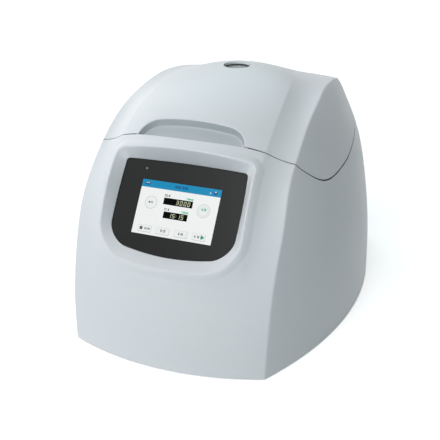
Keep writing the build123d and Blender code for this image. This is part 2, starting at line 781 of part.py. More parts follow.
leaf_form = envelope(-leaf_thickness)
leaf_skin = leaf_form - outside
half_leaf, half_knuckle = hinge_width / 2, knuckle_length / 2
fixed_limits = block((-half_leaf, half_leaf), (150, 260), (hinge_z - leaf_reach - 4, hinge_z - 8))
lid_limits = block((-half_leaf, half_leaf), (hinge_y - leaf_reach - 8, hinge_y - 9), (hinge_z - 12, 320))


def make_leaf(moving):
    """One right-hand hinge leaf, bored for its pin."""
    if moving:
        knuckles = [(-half_leaf, -half_knuckle - knuckle_gap), (half_knuckle + knuckle_gap, half_leaf)]
        strap, ears = hinge_part(knuckles, -1, lid_limits)
        keep = lid_side(parting_gap / 2)
        bore = pin_radius + pin_gap
    else:
        strap, ears = hinge_part([(-half_knuckle, half_knuckle)], 1, fixed_limits)
        keep = lid_side(-parting_gap / 2, above=False)
        bore = pin_radius
    leaf = strap
    for ear in ears:
        knuckle = ear & rod_x(knuckle_radius, 0, far, hinge_y, hinge_z)
        leaf = leaf + ((ear - outside) & keep) + knuckle
    leaf -= rod_x(bore, 0, far, hinge_y, hinge_z)
    return leaf.solids().sort_by(SortBy.VOLUME)[-1]


def leaf_rods(radius, spots):
    """Upright rods through the hinge leaves, square to the skin at the hinge."""
    rods = []
    for x, along in spots:
        middle = hinge_plane.location * Pos(along, 0, x)
        rods.append(Pos(hinge_x, 0, 0) * middle * Rot(90, 0, 0) * extrude(Circle(radius), 20, both=True))
    return rods


def leaf_screws(spots):
    """Screws with round heads on the leaves, for both sides."""
    heads = [(rod & head_form) - leaf_form for rod in leaf_rods(screw_head, spots)]
    shanks = [(rod & leaf_form) - lining for rod in leaf_rods(screw_radius, spots)]
    screws = [head + shank for head, shank in zip(heads, shanks)]
    return group(screws + [mirror(screw, Plane.YZ) for screw in screws])


head_form = envelope(-leaf_thickness - screw_head_height)
lid_screw_spots = [(-12, -27), (12, -27)]
fixed_screw_spots = [(-12, 26), (12, 26)]
fixed_leaf, lid_leaf = make_leaf(False), make_leaf(True)
for rod in leaf_rods(screw_radius + 0.2, lid_screw_spots):
    lid_leaf -= rod
for rod in leaf_rods(screw_radius + 0.2, fixed_screw_spots):
    fixed_leaf -= rod
    parts["lower_housing"] -= rod
    parts["lower_housing"] -= mirror(rod, Plane.YZ)
parts["hinge_screws"] = leaf_screws(fixed_screw_spots)
parts["leaf_screws"] = leaf_screws(lid_screw_spots)
parts["hinge_brackets"] = group([fixed_leaf, mirror(fixed_leaf, Plane.YZ)])
parts["hinge_leaves"] = group([lid_leaf, mirror(lid_leaf, Plane.YZ)])
pin = rod_x(pin_radius, hinge_x - half_leaf, hinge_x + half_leaf, hinge_y, hinge_z)
parts["hinge_pins"] = group([pin, mirror(pin, Plane.YZ)])


# Lid shell, lining, sight tube and striker
def make_lid_shell():
    """Lid skin with raised hood, finger recess and sight hole."""
    above = lid_side(parting_gap / 2)
    floor = envelope(recess_depth)
    tub = (recess_prism(wall) & outside) - envelope(recess_depth + wall)
    skin = (outside - inside + tub) & above
    skin -= recess_prism(0) - floor
    skin -= ring(sight_radius + sight_wall + 0.3, 0, 300, 400, sight_y)
    for rod in leaf_rods(screw_radius + 0.2, lid_screw_spots):
        skin -= rod
        skin -= mirror(rod, Plane.YZ)
    return skin.solids().sort_by(SortBy.VOLUME)[-1]


parts["lid_shell"] = make_lid_shell()
plug_bottom = flange_top + gasket_height + seal_gap


def make_liner():
    """Lid lining that follows the parting surface, with a round plug over the chamber."""
    sheet = lid_side(liner_lift) - lid_side(liner_lift + liner_thickness)
    sheet = sheet & lining & slab(0, far, liner_front, liner_rear)
    cup = ring(plug_radius, 0, plug_bottom, 260) - lid_side(liner_lift + liner_thickness)
    space = ring(plug_radius - liner_thickness, 0, plug_bottom + liner_thickness, 400)
    hole = ring(sight_radius - sight_wall, 0, 0, 400, sight_y)
    return sheet + cup - space - hole


parts["lid_liner"] = make_liner()
tube_bottom = plug_bottom + liner_thickness
tube = ring(sight_radius + sight_wall, sight_radius, tube_bottom, sight_top, sight_y)
shelf_top = sight_top - sight_glass_drop - sight_glass_thickness
tube += ring(sight_radius + sight_wall, sight_radius - sight_wall, shelf_top - 2, shelf_top, sight_y)
parts["sight_tube"] = tube
parts["sight_glass"] = ring(sight_radius, 0, shelf_top, shelf_top + sight_glass_thickness, sight_y)
parts["sight_pane"] = ring(sight_radius, 0, tube_bottom, tube_bottom + 2, sight_y)
striker_y = (lock_y - striker_width / 2, lock_y + striker_width / 2)

seat_form = envelope(recess_depth + wall)
blade = block((-striker_thickness / 2, striker_thickness / 2), striker_y, (lock_z - striker_drop + 2, 400))
flange = block((-10, 10), striker_y, (240, 400)) - envelope(recess_depth + wall + 2)
striker = (blade + flange) & seat_form
striker -= rod_x(bolt_radius + striker_play, -9, 9, lock_y, lock_z)
parts["lid_striker"] = striker

# Rubber buffers on the deck under the lid lining
parts["lid_buffers"] = group([
    rod_z(buffer_radius, deck_z, 300, x, y) - lid_side(liner_lift - seal_gap) for x, y in buffer_spots])

for name, shape in parts.items():
    shape.label = name

os.makedirs("parts", exist_ok=True)
for name, shape in parts.items():
    export_step(shape, f"parts/{name}.step")
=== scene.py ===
import json
import math

import bmesh
import bpy
import numpy as np
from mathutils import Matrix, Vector


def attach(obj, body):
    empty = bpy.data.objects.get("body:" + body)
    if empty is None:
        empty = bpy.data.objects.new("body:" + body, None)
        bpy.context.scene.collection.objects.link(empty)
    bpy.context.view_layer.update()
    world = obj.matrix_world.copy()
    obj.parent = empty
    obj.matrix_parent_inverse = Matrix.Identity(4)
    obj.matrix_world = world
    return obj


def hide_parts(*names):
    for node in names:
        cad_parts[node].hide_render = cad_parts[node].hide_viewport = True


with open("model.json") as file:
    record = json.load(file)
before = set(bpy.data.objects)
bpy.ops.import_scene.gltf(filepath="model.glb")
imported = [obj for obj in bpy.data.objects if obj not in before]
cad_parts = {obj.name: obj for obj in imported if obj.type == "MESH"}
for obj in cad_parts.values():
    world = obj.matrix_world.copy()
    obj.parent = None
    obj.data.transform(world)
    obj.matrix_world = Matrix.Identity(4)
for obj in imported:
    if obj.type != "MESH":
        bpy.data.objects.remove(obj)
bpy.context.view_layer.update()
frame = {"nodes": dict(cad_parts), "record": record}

# Low-speed bench centrifuge: moulded housing and lid, display with its page, materials, light and camera.
# Sizes of the housing are millimetres in the row frame, and meshes are written in metres.
MM = 0.001

# Camera and view
CAMERA_SPOT = (0.3828, -1.0098, 0.5889)
CAMERA_AZIMUTH = 21.44
CAMERA_DOWN = 24.12
CAMERA_LENS = 65.36

# Outer form: stations that fan out from one line under the housing
FAN_Y, FAN_Z = 30.0, -37.0
CREASE_X = 140.0
# angle, radius at the crease, bow of the crown, hood edge half width, hood edge height, hollow of the cove
STATIONS = [
    (0, 250.0, 29.0, 98, None, None),
    (10, 253.9, 30.0, 98, None, None),
    (24, 268.2, 31.0, 98, None, None),
    (37, 287.8, 33.0, 98, 17.5, -0.6),
    (48, 306.3, 36.0, 98, 18.5, -2.0),
    (56, 319.4, 37.5, 98, 18.0, -3.5),
    (63, 327.2, 36.5, 98, 16.5, -4.5),
    (73, 335.0, 29.5, 95, 14.0, -4.5),
    (84, 339.4, 26.7, 88, 12.6, -4.0),
    (92, 343.8, 24.5, 78, 11.0, -3.0),
    (100, 347.0, 18.0, 64, 8.0, -2.0),
    (110, 349.0, 9.0, 60, None, None),
    (120, 338.0, 5.5, 60, None, None),
    (131, 297.0, 8.0, 60, None, None),
    (143, 254.5, 10.0, 60, None, None),
    (160, 223.1, 12.0, 60, None, None),
    (180, 210.6, 12.0, 60, None, None),
]
SIDE_LINE = [(196, -60), (196, 3), (193, 85), (184, 157), (171, 214), (155.5, 252),
             (142, 281), (128, 303), (110, 324), (88, 346)]
SIDE_AXIS_X, SIDE_AXIS_Y, SIDE_LEAN = 324.0, 25.0, math.radians(3.5)
PARTING = [(-190, 300), (-153, 279), (-131.3, 265.4), (-122, 252.5), (-106.3, 236.7), (-87.8, 223.6),
           (-60, 216), (-30, 217), (20, 221.5), (58, 227), (110, 234), (150, 242), (180, 254),
           (200, 268), (225, 290), (262, 325)]
FRONT_SLOPE = 0.62
PARTING_GAP = 1.9
WALL = 3.0
FOOT_GAP = 3.0

# Display
PANEL_SPOT = np.array([0.0, -183.9, 193.9])
PANEL_TILT = math.radians(34.6)
PANEL_U = np.array([1.0, 0.0, 0.0])
PANEL_V = np.array([0.0, math.sin(PANEL_TILT), math.cos(PANEL_TILT)])
PANEL_N = np.array([0.0, -math.cos(PANEL_TILT), math.sin(PANEL_TILT)])
SCREEN_W, SCREEN_H = 107.6, 70.0

# Finger recess
RECESS_SPOT = np.array([0.0, -136.0, 287.0])
RECESS_LEAN = math.radians(23.0)
RECESS_V = np.array([0.0, math.cos(RECESS_LEAN), math.sin(RECESS_LEAN)])
RECESS_N = np.array([0.0, -math.sin(RECESS_LEAN), math.cos(RECESS_LEAN)])
RECESS_HALF, RECESS_REACH, RECESS_CORNER = 72.5, 16.0, 25.0
# How far inside its outline, and how deep there
RECESS_PROFILE = [(-0.6, 0.0), (0.0, 0.08), (0.5, 0.5), (0.9, 1.4), (2.0, 8.6), (2.6, 10.2), (3.6, 10.9),
                  (5.0, 11.0)]
# The recess gets a darker grey, painted shade of the recess, from this far inside the outline
RECESS_SHADE_INSET = 0.9

# Round hole over the sight glass
SIGHT_Y, SIGHT_HOLE = 31.0, 19.05
SIGHT_LOW = 250.0

# Opening of the rear panel: half its width, its middle height and half its height
REAR_HALF, REAR_MIDDLE, REAR_RISE = 88.0, 64.0, 36.0

# Depths in front of which the recess and the pocket lie, and behind which the rear opening lies
RECESS_SIDE, POCKET_SIDE, REAR_SIDE = -60.0, -40.0, 150.0
# The pocket reaches no further than this behind the panel
POCKET_BACK = -30.0
# Value of a field where it has nothing to cut
NOWHERE = 50.0

# Share of an edge by which a point may move onto a cut, and the value that counts as on it
SNAP = 0.2
ON_CUT = 1e-4


# Curves
def spline(xs, ys, at):
    """Natural cubic spline through the points, evaluated at an array."""
    xs, ys, at = (np.asarray(a, float) for a in (xs, ys, at))
    n = len(xs)
    h = np.diff(xs)
    system = np.zeros((n, n))
    right = np.zeros(n)
    system[0, 0] = system[-1, -1] = 1
    for i in range(1, n - 1):
        system[i, i - 1:i + 2] = h[i - 1], 2 * (h[i - 1] + h[i]), h[i]
        right[i] = 6 * ((ys[i + 1] - ys[i]) / h[i] - (ys[i] - ys[i - 1]) / h[i - 1])
    bend = np.linalg.solve(system, right)
    i = np.clip(np.searchsorted(xs, at) - 1, 0, n - 2)
    a, b = (xs[i + 1] - at) / h[i], (at - xs[i]) / h[i]
    return (a * ys[i] + b * ys[i + 1]
            + ((a**3 - a) * bend[i] + (b**3 - b) * bend[i + 1]) * h[i]**2 / 6)


def crown(x, bow):
    """Height of the arc over the creases at x."""
    radius = (CREASE_X**2 + bow**2) / (2 * bow)
    return bow - radius + np.sqrt(np.maximum(radius**2 - x**2, 0))


def station_table():
    """Stations as plain columns: the crown ones get the edge height and hollow that the crown has."""
    rows = []
    for angle, radius, bow, edge, rise, hollow in STATIONS:
        if rise is None:
            rise = crown(edge, bow)
            hollow = crown((edge + CREASE_X) / 2, bow) - rise / 2
        rows.append((angle, radius, bow, edge, rise, hollow))
    return np.array(rows, float).T


TABLE = station_table()
FINE_STEP = 0.5
FINE_X = np.arange(-180.0, 180.25, FINE_STEP)
# Softness of the hood's edge, width of the fine columns beside it, and size of the crease's rounding
HOOD_ROUND = 0.7
EDGE_REACH = 3.0
CREASE_ROUND = 1.7
# Angles of the rows: first, last and step, finest where the pocket and the recess lie
ROW_ANGLES = [(6.0, 33.0, 0.9), (33.0, 74.0, 0.33), (74.0, 150.0, 0.8), (150.0, 174.6, 1.2)]
# Number of columns over the hood, its edge, the cove, the crease and the side
HOOD_COLUMNS, EDGE_COLUMNS, COVE_COLUMNS, CREASE_COLUMNS, SIDE_COLUMNS = 25, 13, 24, 4, 34
SIDE_CROWDING = 1.15


def sections(theta):
    """Height over the crease radius for every angle (rows) on the fine x grid (columns), edges softened."""
    bow, edge, rise, hollow = (spline(TABLE[0], TABLE[k], theta)[:, None] for k in (2, 3, 4, 5))
    x = np.abs(FINE_X)[None, :]
    drop = np.maximum(bow - rise, 0.05)
    radius = (edge**2 + drop**2) / (2 * drop)
    hood = bow - radius + np.sqrt(np.maximum(radius**2 - x**2, 1.0))
    t = (x - edge) / (CREASE_X - edge)
    cove = rise * (1 - t) + 4 * hollow * t * (1 - t)
    height = np.where(x <= edge, hood, cove)
    span = int(4 * HOOD_ROUND / FINE_STEP)
    reach = np.arange(-span, span + 1) * FINE_STEP
    kernel = np.exp(-0.5 * (reach / HOOD_ROUND) ** 2)
    kernel /= kernel.sum()
    padded = np.pad(height, ((0, 0), (span, span)), mode="edge")
    return sum(share * padded[:, k:k + height.shape[1]] for k, share in enumerate(kernel))


def skin_columns(edge, crease):
    """Columns of the skin in every row, close together over the hood's edge."""
    near, far = edge - EDGE_REACH, edge + EDGE_REACH
    hood_part = np.linspace(0, 1, HOOD_COLUMNS)[None, :-1] * near
    edge_part = near + np.linspace(0, 1, EDGE_COLUMNS)[None, :-1] * (far - near)
    cove_part = far + np.linspace(0, 1, COVE_COLUMNS)[None, :] * (crease - CREASE_ROUND - far)
    return np.concatenate([hood_part, edge_part, cove_part], 1)


def drum_x(y, z):
    """Half width of the side at a depth and height."""
    dy, dz = y - SIDE_AXIS_Y, z
    along = math.cos(SIDE_LEAN) * dy + math.sin(SIDE_LEAN) * dz
    up = -math.sin(SIDE_LEAN) * dy + math.cos(SIDE_LEAN) * dz
    line = sorted((z, x) for x, z in SIDE_LINE)
    side = spline([p[0] for p in line], [p[1] for p in line], up)
    return np.sqrt(np.maximum((SIDE_AXIS_X + side) ** 2 - along**2, 0)) - SIDE_AXIS_X


def fan(theta, rho):
    """Depth and height at an angle and radius of the fan."""
    turn = np.radians(theta)
    return FAN_Y - rho * np.cos(turn), FAN_Z + rho * np.sin(turn)


def row_heights(heights, x):
    """Each row's height at its own x values."""
    place = (x - FINE_X[0]) / (FINE_X[1] - FINE_X[0])
    low = np.clip(place.astype(int), 0, len(FINE_X) - 2)
    share = place - low
    rows = np.arange(len(x))[:, None]
    return heights[rows, low] * (1 - share) + heights[rows, low + 1] * share


# Outer skin as one grid
def outer_grid():
    """Points (rows by columns by 3) of the whole outer form, from the left foot over the top to the right."""
    theta = np.concatenate([np.arange(*span) for span in ROW_ANGLES])
    heights = sections(theta)
    radius = spline(TABLE[0], TABLE[1], theta)[:, None]
    crease = np.full((len(theta), 1), CREASE_X)
    for _ in range(60):
        y, z = fan(theta[:, None], radius + row_heights(heights, crease))
        crease = 0.5 * crease + 0.5 * drum_x(y, z)
    rho_crease = radius + row_heights(heights, crease)
    x = skin_columns(spline(TABLE[0], TABLE[3], theta)[:, None], crease)
    y, z = fan(theta[:, None], radius + row_heights(heights, x))
    skin = np.stack([x, y, z], -1)
    corner = np.stack([crease, *fan(theta[:, None], rho_crease)], -1)
    rho_side = rho_crease - CREASE_ROUND
    y, z = fan(theta[:, None], rho_side)
    start = np.stack([drum_x(y, z), y, z], -1)
    t = np.linspace(0, 1, CREASE_COLUMNS + 2)[None, 1:-1, None]
    arc = (1 - t)**2 * skin[:, -1:, :] + 2 * t * (1 - t) * corner + t**2 * start
    floor = (FOOT_GAP - FAN_Z) / np.sin(np.radians(theta))[:, None]
    floor = np.minimum(floor, rho_side - 1.0)
    share = np.linspace(0, 1, SIDE_COLUMNS)[None, :] ** SIDE_CROWDING
    rho = rho_side * (1 - share) + floor * share
    y, z = fan(theta[:, None], rho)
    side = np.stack([drum_x(y, z), y, z], -1)
    half = np.concatenate([skin, arc, side], 1)
    mirrored = half[:, :0:-1, :] * np.array([-1.0, 1.0, 1.0])
    return np.concatenate([mirrored, half], 1)


def grid_faces(rows, columns):
    """Quads of a grid of points."""
    index = np.arange(rows * columns).reshape(rows, columns)
    quads = np.stack([index[:-1, :-1], index[:-1, 1:], index[1:, 1:], index[1:, :-1]], -1)
    return [tuple(q) for q in quads.reshape(-1, 4).tolist()]


# Cutting a mesh along the zero line of a field
def open_edges(faces):
    """Edges that only one face has, as pairs of point numbers."""
    count = {}
    for face in faces:
        for a, b in zip(face, face[1:] + face[:1]):
            key = (a, b) if a < b else (b, a)
            count[key] = count.get(key, 0) + 1
    return [edge for edge, times in count.items() if times == 1]


def snapped(points, faces, value, snap):
    """Moves inner points that lie close to the cut onto it, so that no slivers are left beside it."""
    held = {i for edge in open_edges(faces) for i in edge}
    nearest = {}
    for face in faces:
        for a, b in zip(face, face[1:] + face[:1]):
            if value[a] * value[b] < 0:
                share = value[a] / (value[a] - value[b])
                start, end = (a, b) if share <= 0.5 else (b, a)
                share = min(share, 1 - share)
                if share < snap and start not in held and share < nearest.get(start, (1.0,))[0]:
                    nearest[start] = (share, end)
    points, value = points.copy(), value.copy()
    before = points.copy()
    for start, (share, end) in nearest.items():
        points[start] = before[start] * (1 - share) + before[end] * share
        value[start] = 0.0
    return points, value


def split(points, faces, field, keep=None, snap=0.0):
    """Cuts faces where field changes sign. keep=1 keeps the positive side, -1 the negative, None both."""
    value = field(points)
    value = np.where(np.abs(value) < ON_CUT, 0.0, value)
    if snap:
        points, value = snapped(points, faces, value, snap)
    new_points = []
    made = {}

    def crossing(a, b):
        key = (a, b) if a < b else (b, a)
        if key not in made:
            share = value[key[0]] / (value[key[0]] - value[key[1]])
            made[key] = len(points) + len(new_points)
            new_points.append(points[key[0]] * (1 - share) + points[key[1]] * share)
        return made[key]

    out = []
    for face in faces:
        here = [value[i] for i in face]
        if min(here) >= 0:
            if keep != -1:
                out.append(face)
        elif max(here) <= 0:
            if keep != 1:
                out.append(face)
        else:
            above, below = [], []
            for a, b in zip(face, face[1:] + face[:1]):
                if value[a] >= 0:
                    above.append(a)
                if value[a] <= 0:
                    below.append(a)
                if value[a] * value[b] < 0:
                    c = crossing(a, b)
                    above.append(c)
                    below.append(c)
            if keep != -1 and len(above) > 2:
                out.append(tuple(above))
            if keep != 1 and len(below) > 2:
                out.append(tuple(below))
    if new_points:
        points = np.concatenate([points, np.array(new_points)])
    return points, out


def compact(points, faces):
    """Drops the points that no face uses."""
    used = sorted({i for face in faces for i in face})
    number = {old: new for new, old in enumerate(used)}
    return points[used], [tuple(number[i] for i in face) for face in faces]


# Fields over the skin
def parting_height(y):
    """Height of the parting line, which runs on straight at both ends."""
    ys, zs = [p[0] for p in PARTING], [p[1] for p in PARTING]
    return np.where(y < ys[0], zs[0] + (y - ys[0]) * FRONT_SLOPE,
                    np.where(y > ys[-1], zs[-1] + (y - ys[-1]), spline(ys, zs, y)))


def above_parting(points):
    return points[:, 2] - parting_height(points[:, 1])


def panel_frame(points):
    """Places along, up and out of the display panel."""
    q = points - PANEL_SPOT
    return q @ PANEL_U, q @ PANEL_V, q @ PANEL_N


def rounded_distance(u, v, low, high, half, corner_low, corner_high):
    """Distance outside a rectangle with one radius for its low corners and one for its high corners."""
    mid = (low + high) / 2
    corner = np.where(v < mid, corner_low, corner_high)
    du = np.abs(u) - (half - corner)
    dv = np.abs(v - mid) - ((high - low) / 2 - corner)
    outside = np.hypot(np.maximum(du, 0), np.maximum(dv, 0))
    return outside + np.minimum(np.maximum(du, dv), 0) - corner


def arched(u, v, half, top, bottom, arch, belly, side, corner_low, corner_high):
    """Signed distance outside a D with arched top, bellied bottom and bowed sides."""
    w = np.clip(np.abs(u) / half, 0, 1.3)
    top_here = top - arch * w**2
    low_here = bottom + belly * w**2
    mid = (top + bottom) / 2
    lean = side * (1 - np.clip((v - mid) / ((top - bottom) / 2), -1.2, 1.2) ** 2) - side
    high_share = smooth(0.5 + (v - mid) / (top - bottom))
    v_new = v + (top - top_here) * high_share - (low_here - bottom) * (1 - high_share)
    return rounded_distance(u / (1 + lean / half), v_new, bottom, top, half, corner_low, corner_high)


# Outlines: half width, top, bottom, arch, belly, bow of the sides, low corners, high corners
PANEL_OUTLINE = (84.0, 61.2, -59.3, 2.0, 12.0, 2.0, 26.0, 4.0)
RIM_OUTLINE = (96.5, 75.0, -77.5, 3.0, 12.0, 1.5, 43.0, 12.0)
BOSS_OUTLINE = (104.0, 120.0, -97.0, 3.0, 14.0, 3.0, 54.0, 10.0)


def panel_distance(u, v):
    return arched(u, v, *PANEL_OUTLINE)


def rim_distance(u, v):
    return arched(u, v, *RIM_OUTLINE)


def boss_distance(u, v):
    return arched(u, v, *BOSS_OUTLINE)


def smooth(t):
    t = np.clip(t, 0, 1)
    return t * t * (3 - 2 * t)


# Boss round the display: its height, the width of its slope, and where it fades towards the lid
BOSS_HEIGHT, BOSS_SLOPE = 3.2, 26.0
BOSS_TOP, BOSS_FADE = 92.0, 60.0
# Pocket: gap to the panel, rounding of its rim, width and height of the lip outside it
PANEL_SEAM = 0.3
RIM_ROUND = 2.0
LIP_WIDTH = 7.5
LIP_HEIGHT = 2.2
# Number of rings over the lip, the rounding and the wall
LIP_RINGS, ROUND_RINGS, WALL_RINGS = 8, 8, 5


def form_front(points):
    """Lifts the skin along the panel's normal into the low boss round the display."""
    u, v, w = panel_frame(points)
    front = (w > POCKET_BACK) & (points[:, 1] < POCKET_SIDE)
    boss = BOSS_HEIGHT * smooth(0.5 - boss_distance(u, v) / BOSS_SLOPE) * smooth((BOSS_TOP - v) / BOSS_FADE)
    return points + np.where(front, boss, 0.0)[:, None] * PANEL_N


def rim_field(points, reach=0.0):
    """Positive outside a line that runs this far outside the rim of the display pocket."""
    u, v, w = panel_frame(points)
    front = (w > POCKET_BACK) & (points[:, 1] < POCKET_SIDE)
    return np.where(front, rim_distance(u, v) - reach, NOWHERE)


def slide_to(distance, u, v, level):
    """Nearest points of the line where the distance has this value."""
    step = 0.01
    for _ in range(6):
        here = distance(u, v) - level
        gu = (distance(u + step, v) - distance(u - step, v)) / (2 * step)
        gv = (distance(u, v + step) - distance(u, v - step)) / (2 * step)
        size = np.maximum(gu**2 + gv**2, 0.2)
        u, v = u - here * gu / size, v - here * gv / size
    return u, v


def rim_loop(points, faces, reach):
    """Point numbers round the skin's open edge at this reach, anticlockwise seen from the front."""
    value = rim_field(points, reach)
    ring = sorted({i for edge in open_edges(faces) for i in edge if abs(value[i]) < 0.5})
    u, v, _ = panel_frame(points[ring])
    return [ring[k] for k in np.argsort(np.arctan2(v, u))]


def closed_mean(values, times):
    """Running mean round a closed row of values."""
    for _ in range(times):
        values = 0.25 * np.roll(values, 1, 0) + 0.5 * values + 0.25 * np.roll(values, -1, 0)
    return values


def rim_heights(points, faces):
    """Direction and height of the skin over the panel along the pocket's rim."""
    points, faces = split(points, faces, rim_field, keep=1)
    points, faces = compact(form_front(points), faces)
    u, v, w = panel_frame(points[rim_loop(points, faces, 0.0)])
    return np.arctan2(v, u), closed_mean(w, 2)


def add_pocket(points, faces, heights):
    """Raised lip, rounded rim and sloping wall of the pocket, from the skin's open edge to the panel."""
    loop = rim_loop(points, faces, LIP_WIDTH)
    u, v, w = panel_frame(points[loop])
    u, v = slide_to(rim_distance, u, v, LIP_WIDTH)
    w = closed_mean(w, 2)
    points = points.copy()
    points[loop] = PANEL_SPOT + u[:, None] * PANEL_U + v[:, None] * PANEL_V + w[:, None] * PANEL_N
    foot = np.stack([u, v, w], 1)
    rim_u, rim_v = slide_to(rim_distance, u, v, 0.0)
    rim_w = np.interp(np.arctan2(rim_v, rim_u), *heights, period=2 * math.pi)
    top = np.stack([rim_u, rim_v, rim_w], 1)
    slope = closed_mean((rim_w - w) / np.hypot(rim_u - u, rim_v - v), 6)
    low_u, low_v = slide_to(panel_distance, rim_u, rim_v, PANEL_SEAM)
    way = np.stack([low_u - rim_u, low_v - rim_v], 1)
    way /= np.linalg.norm(way, axis=1, keepdims=True)
    rings = [foot * (1 - t) + top * t + [0, 0, LIP_HEIGHT * math.sin(0.5 * math.pi * t)]
             for t in np.linspace(0, 1, LIP_RINGS + 1)[1:]]
    place = rings[-1]
    low = np.stack([low_u, low_v, np.zeros_like(w)], 1)
    corner = place + RIM_ROUND * np.concatenate([way, slope[:, None]], 1)
    wall = low - corner
    length = np.linalg.norm(wall, axis=1, keepdims=True)
    round_end = corner + wall * np.minimum(RIM_ROUND / length, 0.5)
    rings += [(1 - t)**2 * place + 2 * t * (1 - t) * corner + t**2 * round_end
              for t in np.linspace(0, 1, ROUND_RINGS + 1)[1:]]
    rings += [round_end * (1 - t) + low * t for t in np.linspace(0, 1, WALL_RINGS + 1)[1:]]
    count = len(loop)
    numbers = [loop]
    parts = [points]
    total = len(points)
    for ring in rings:
        parts.append(PANEL_SPOT + ring[:, :1] * PANEL_U + ring[:, 1:2] * PANEL_V + ring[:, 2:] * PANEL_N)
        numbers.append(list(range(total, total + count)))
        total += count
    faces = list(faces)
    for outer, inner in zip(numbers, numbers[1:]):
        for k in range(count):
            m = (k + 1) % count
            faces.append((outer[k], outer[m], inner[m], inner[k]))
    return np.concatenate(parts), faces


def recess_distance(points):
    """Distance outside the outline of the finger recess, which is open towards the front."""
    q = points - RECESS_SPOT
    u, v = q[:, 0], q @ RECESS_V
    du = np.abs(u) - (RECESS_HALF - RECESS_CORNER)
    dv = v - (RECESS_REACH - RECESS_CORNER)
    outside = np.hypot(np.maximum(du, 0), np.maximum(dv, 0))
    return outside + np.minimum(np.maximum(du, dv), 0) - RECESS_CORNER


def form_recess(points):
    """Sinks the lid's skin into the finger recess: rounded lip, steep wall, cove at its foot."""
    depth = np.interp(-recess_distance(points), *zip(*RECESS_PROFILE))
    move = np.where(points[:, 1] < RECESS_SIDE, depth, 0.0)
    return points - move[:, None] * RECESS_N


# Meshes in Blender
def new_mesh(name, points, faces, sharp=32.0):
    """Object with smooth shading from points in millimetres."""
    mesh = bpy.data.meshes.new(name)
    mesh.from_pydata((np.asarray(points) * MM).tolist(), [], faces)
    mesh.validate()
    obj = bpy.data.objects.new(name, mesh)
    bpy.context.scene.collection.objects.link(obj)
    smooth_by_angle(obj, sharp)
    return obj


def smooth_by_angle(obj, degrees):
    """Smooth shading, with open edges and those sharper than the angle marked sharp."""
    mesh = obj.data
    work = bmesh.new()
    work.from_mesh(mesh)
    limit = math.radians(degrees)
    for edge in work.edges:
        edge.smooth = len(edge.link_faces) == 2 and edge.calc_face_angle(0) <= limit
    for face in work.faces:
        face.smooth = True
    work.to_mesh(mesh)
    work.free()


def shell(name, points, faces, thickness, sharp=32.0):
    """Closed shell whose outside is the given skin."""
    points, faces = compact(points, faces)
    obj = new_mesh(name, points, faces, sharp)
    solid = obj.modifiers.new("Thickness", "SOLIDIFY")
    solid.thickness = thickness * MM
    solid.offset = -1.0
    return obj


# Materials
def material(name, colour, roughness=0.5, metallic=0.0):
    """Plain material with its node tree and its shader."""
    made = bpy.data.materials.new(name)
    made.use_nodes = True
    shader = made.node_tree.nodes["Principled BSDF"]
    shader.inputs["Base Color"].default_value = (*colour, 1.0)
    shader.inputs["Roughness"].default_value = roughness
    shader.inputs["Metallic"].default_value = metallic
    return made, made.node_tree, shader


def grain(tree, shader, colour, scale, contrast, bump, distance, rough=None, detail=4.0, stretch=None):
    """Fine noise in the colour, the relief and the gloss of a material."""
    nodes, links = tree.nodes, tree.links
    place = nodes.new("ShaderNodeTexCoord")
    noise = nodes.new("ShaderNodeTexNoise")
    noise.inputs["Scale"].default_value = scale
    noise.inputs["Detail"].default_value = detail
    source = place.outputs["Object"]
    if stretch:
        mapping = nodes.new("ShaderNodeMapping")
        mapping.inputs["Scale"].default_value = stretch
        links.new(source, mapping.inputs["Vector"])
        source = mapping.outputs["Vector"]
    links.new(source, noise.inputs["Vector"])
    mix = nodes.new("ShaderNodeMix")
    mix.data_type = "RGBA"
    mix.inputs["A"].default_value = (*[c * (1 - contrast) for c in colour], 1)
    mix.inputs["B"].default_value = (*[min(1, c * (1 + contrast)) for c in colour], 1)
    links.new(noise.outputs["Fac"], mix.inputs["Factor"])
    links.new(mix.outputs["Result"], shader.inputs["Base Color"])
    relief = nodes.new("ShaderNodeBump")
    relief.inputs["Strength"].default_value = bump
    relief.inputs["Distance"].default_value = distance
    links.new(noise.outputs["Fac"], relief.inputs["Height"])
    links.new(relief.outputs["Normal"], shader.inputs["Normal"])
    if rough:
        span = nodes.new("ShaderNodeMapRange")
        span.inputs["To Min"].default_value = rough[0]
        span.inputs["To Max"].default_value = rough[1]
        links.new(noise.outputs["Fac"], span.inputs["Value"])
        links.new(span.outputs["Result"], shader.inputs["Roughness"])
    return noise


def grained(name, colour, roughness, metallic=0.0, scale=900.0, contrast=0.02, bump=0.12, distance=0.0002,
            spread=0.05, stretch=None, gloss=None):
    """Material with fine grain."""
    made, tree, shader = material(name, colour, roughness, metallic)
    grain(tree, shader, colour, scale, contrast, bump, distance,
          (max(0.02, roughness - spread), roughness + spread), stretch=stretch)
    if gloss is not None:
        shader.inputs["Specular IOR Level"].default_value = gloss
    return made


